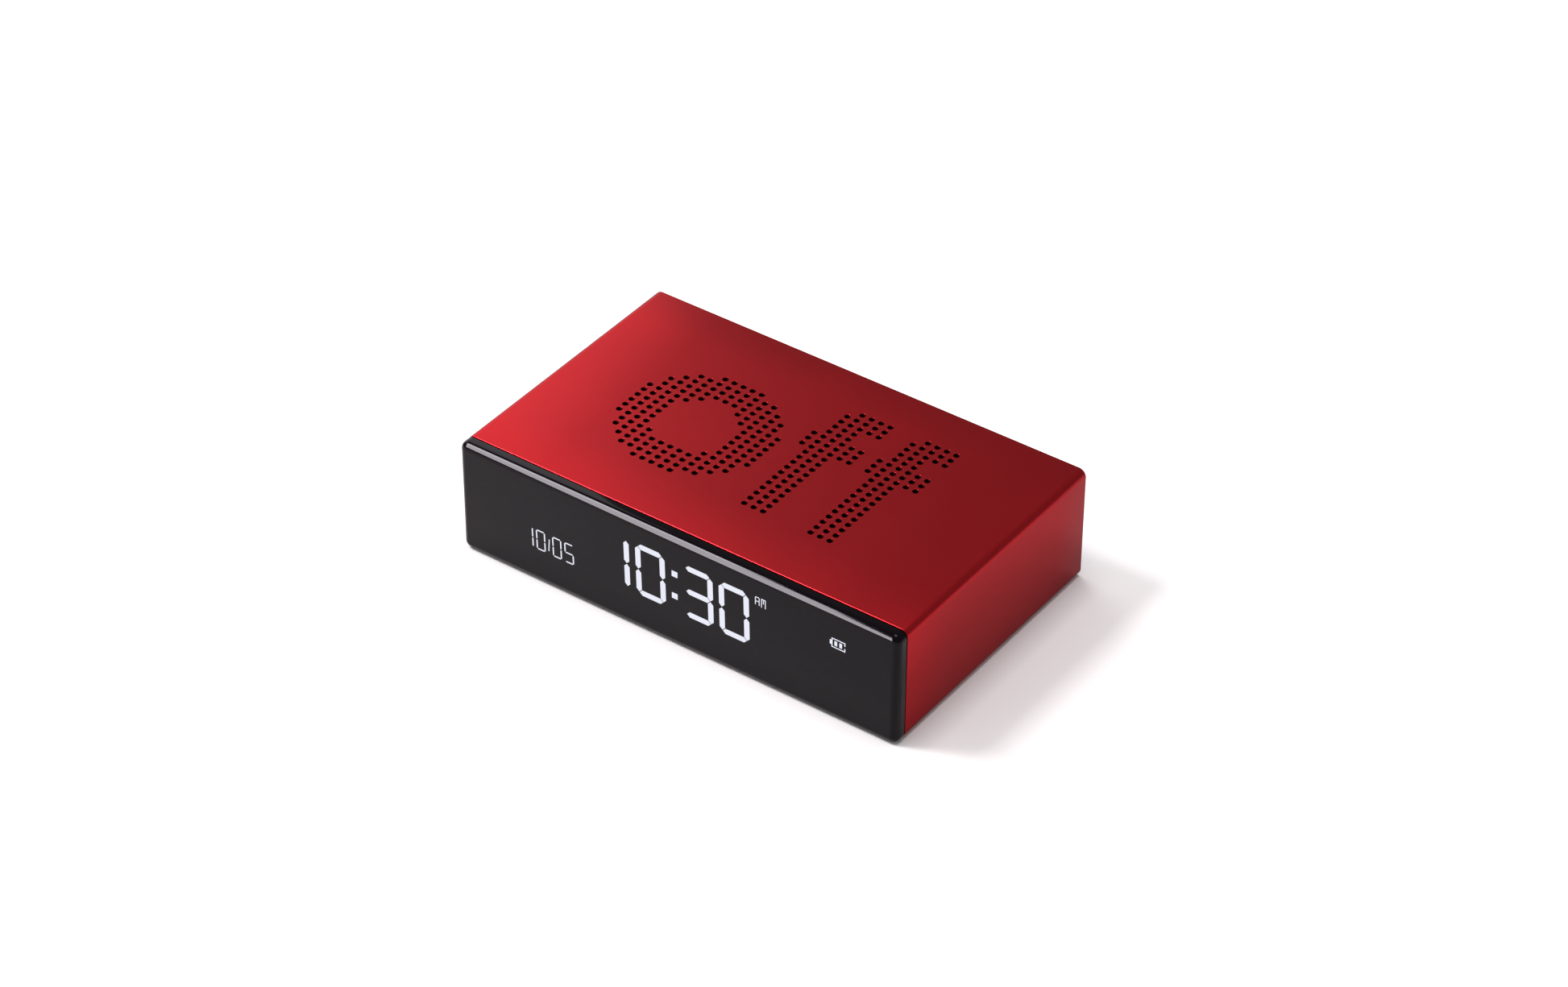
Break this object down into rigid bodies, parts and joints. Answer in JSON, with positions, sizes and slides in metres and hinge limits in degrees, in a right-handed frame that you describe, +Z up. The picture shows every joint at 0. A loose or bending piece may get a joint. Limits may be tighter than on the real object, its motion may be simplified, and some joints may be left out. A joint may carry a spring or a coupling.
{
  "type": "travel alarm clock",
  "caption": "Flip-over travel alarm clock: red aluminium sleeve with sound holes, smoked display front, back keys and charging port.",
  "frame": {"origin": "middle of the outline on the resting face", "axes": "+X to the right along the front, +Y to the back, +Z up; the display faces -Y"},
  "size_m": [0.121, 0.0746, 0.0302],
  "materials": {
    "red_anodised": "anodised red, fine satin",
    "acoustic_cloth": "fine black weave",
    "smoked_window": "smoked acrylic, polished, rounded front edge",
    "black_plastic": "fine moulded texture",
    "key_plastic": "fine moulded texture, raised symbol",
    "clear_film": "clear conductive film",
    "display_glass": "dark polarised panel with white segments",
    "light_guide": "clear acrylic with printed dots",
    "lamp": "white lamp package",
    "contact_rubber": "layered conductive rubber",
    "circuit_board": "green solder mask over copper tracks",
    "ribbon_cable": "amber film over copper lines",
    "chassis_plastic": "moulded, as it leaves the tool",
    "component_black": "moulded component plastic",
    "plunger_plastic": "smooth moulded",
    "socket_nylon": "natural nylon",
    "ferrite": "sintered ferrite",
    "plated_steel": "nickel plated, satin",
    "screw_steel": "black zinc plated",
    "battery_foil": "laminated foil pouch",
    "foam_tape": "closed-cell foam",
    "red_insulation": "silicone insulation",
    "black_insulation": "silicone insulation",
    "speaker_plastic": "moulded",
    "magnet_steel": "nickel plated",
    "cone_paper": "coated paper"
  },
  "bodies": {
    "housing": {"backlight_guide": "light_guide", "backlight_led_left": "lamp", "backlight_led_right": "lamp", "battery_cell": "battery_foil", "battery_lead_black": "black_insulation", "battery_lead_red": "red_insulation", "battery_pad": "foam_tape", "battery_socket": "socket_nylon", "board_ribbon": "ribbon_cable", "chassis_tray": "chassis_plastic", "contact_strip": "contact_rubber", "controller_chip": "component_black", "display_board": "circuit_board", "display_ribbon": "ribbon_cable", "front_bezel": "black_plastic", "front_lens": "smoked_window", "grille_cloth_bottom": "acoustic_cloth", "grille_cloth_top": "acoustic_cloth", "housing_sleeve": "red_anodised", "key_board": "circuit_board", "lcd_panel": "display_glass", "main_board": "circuit_board", "port_shell": "plated_steel", "port_tongue": "component_black", "power_inductor": "ferrite", "rear_panel": "black_plastic", "screw_front_left": "screw_steel", "screw_front_right": "screw_steel", "screw_key_board_left": "screw_steel", "screw_key_board_right": "screw_steel", "screw_main_board_left": "screw_steel", "screw_main_board_right": "screw_steel", "screw_rear_left": "screw_steel", "screw_rear_right": "screw_steel", "screw_speaker_left": "screw_steel", "screw_speaker_right": "screw_steel", "speaker_frame": "speaker_plastic", "speaker_lead_black": "black_insulation", "speaker_lead_red": "red_insulation", "speaker_magnet": "magnet_steel", "speaker_socket": "socket_nylon", "switch_alarm": "component_black", "switch_minus": "component_black", "switch_plus": "component_black", "switch_time": "component_black", "tilt_switch_base": "component_black", "tilt_switch_can": "plated_steel", "timing_crystal": "plated_steel", "touch_film": "clear_film"},
    "key_time_set": {"key_time": "key_plastic", "plunger_time": "plunger_plastic"},
    "key_alarm_set": {"key_alarm": "key_plastic", "plunger_alarm": "plunger_plastic"},
    "key_minus_set": {"key_minus": "key_plastic", "plunger_minus": "plunger_plastic"},
    "key_plus_set": {"key_plus": "key_plastic", "plunger_plus": "plunger_plastic"},
    "tilt_ball": {"tilt_switch_ball": "plated_steel"},
    "cone": {"speaker_cone": "cone_paper"}
  },
  "joints": [
    {"name": "key_time_press", "type": "slide", "parent": "housing", "child": "key_time_set", "axis": [0, -1, 0], "range_m": [0, 0.0005], "stiffness_N_per_m": 600},
    {"name": "key_alarm_press", "type": "slide", "parent": "housing", "child": "key_alarm_set", "axis": [0, -1, 0], "range_m": [0, 0.0005], "stiffness_N_per_m": 600},
    {"name": "key_minus_press", "type": "slide", "parent": "housing", "child": "key_minus_set", "axis": [0, -1, 0], "range_m": [0, 0.0005], "stiffness_N_per_m": 600},
    {"name": "key_plus_press", "type": "slide", "parent": "housing", "child": "key_plus_set", "axis": [0, -1, 0], "range_m": [0, 0.0005], "stiffness_N_per_m": 600},
    {"name": "tilt_ball_fall", "type": "slide", "parent": "housing", "child": "tilt_ball", "axis": [0, 0, 1], "range_m": [0, 0.0025]},
    {"name": "cone_push", "type": "slide", "parent": "housing", "child": "cone", "axis": [0, 0, 1], "range_m": [-0.00025, 0.00025], "stiffness_N_per_m": 900}
  ]
}
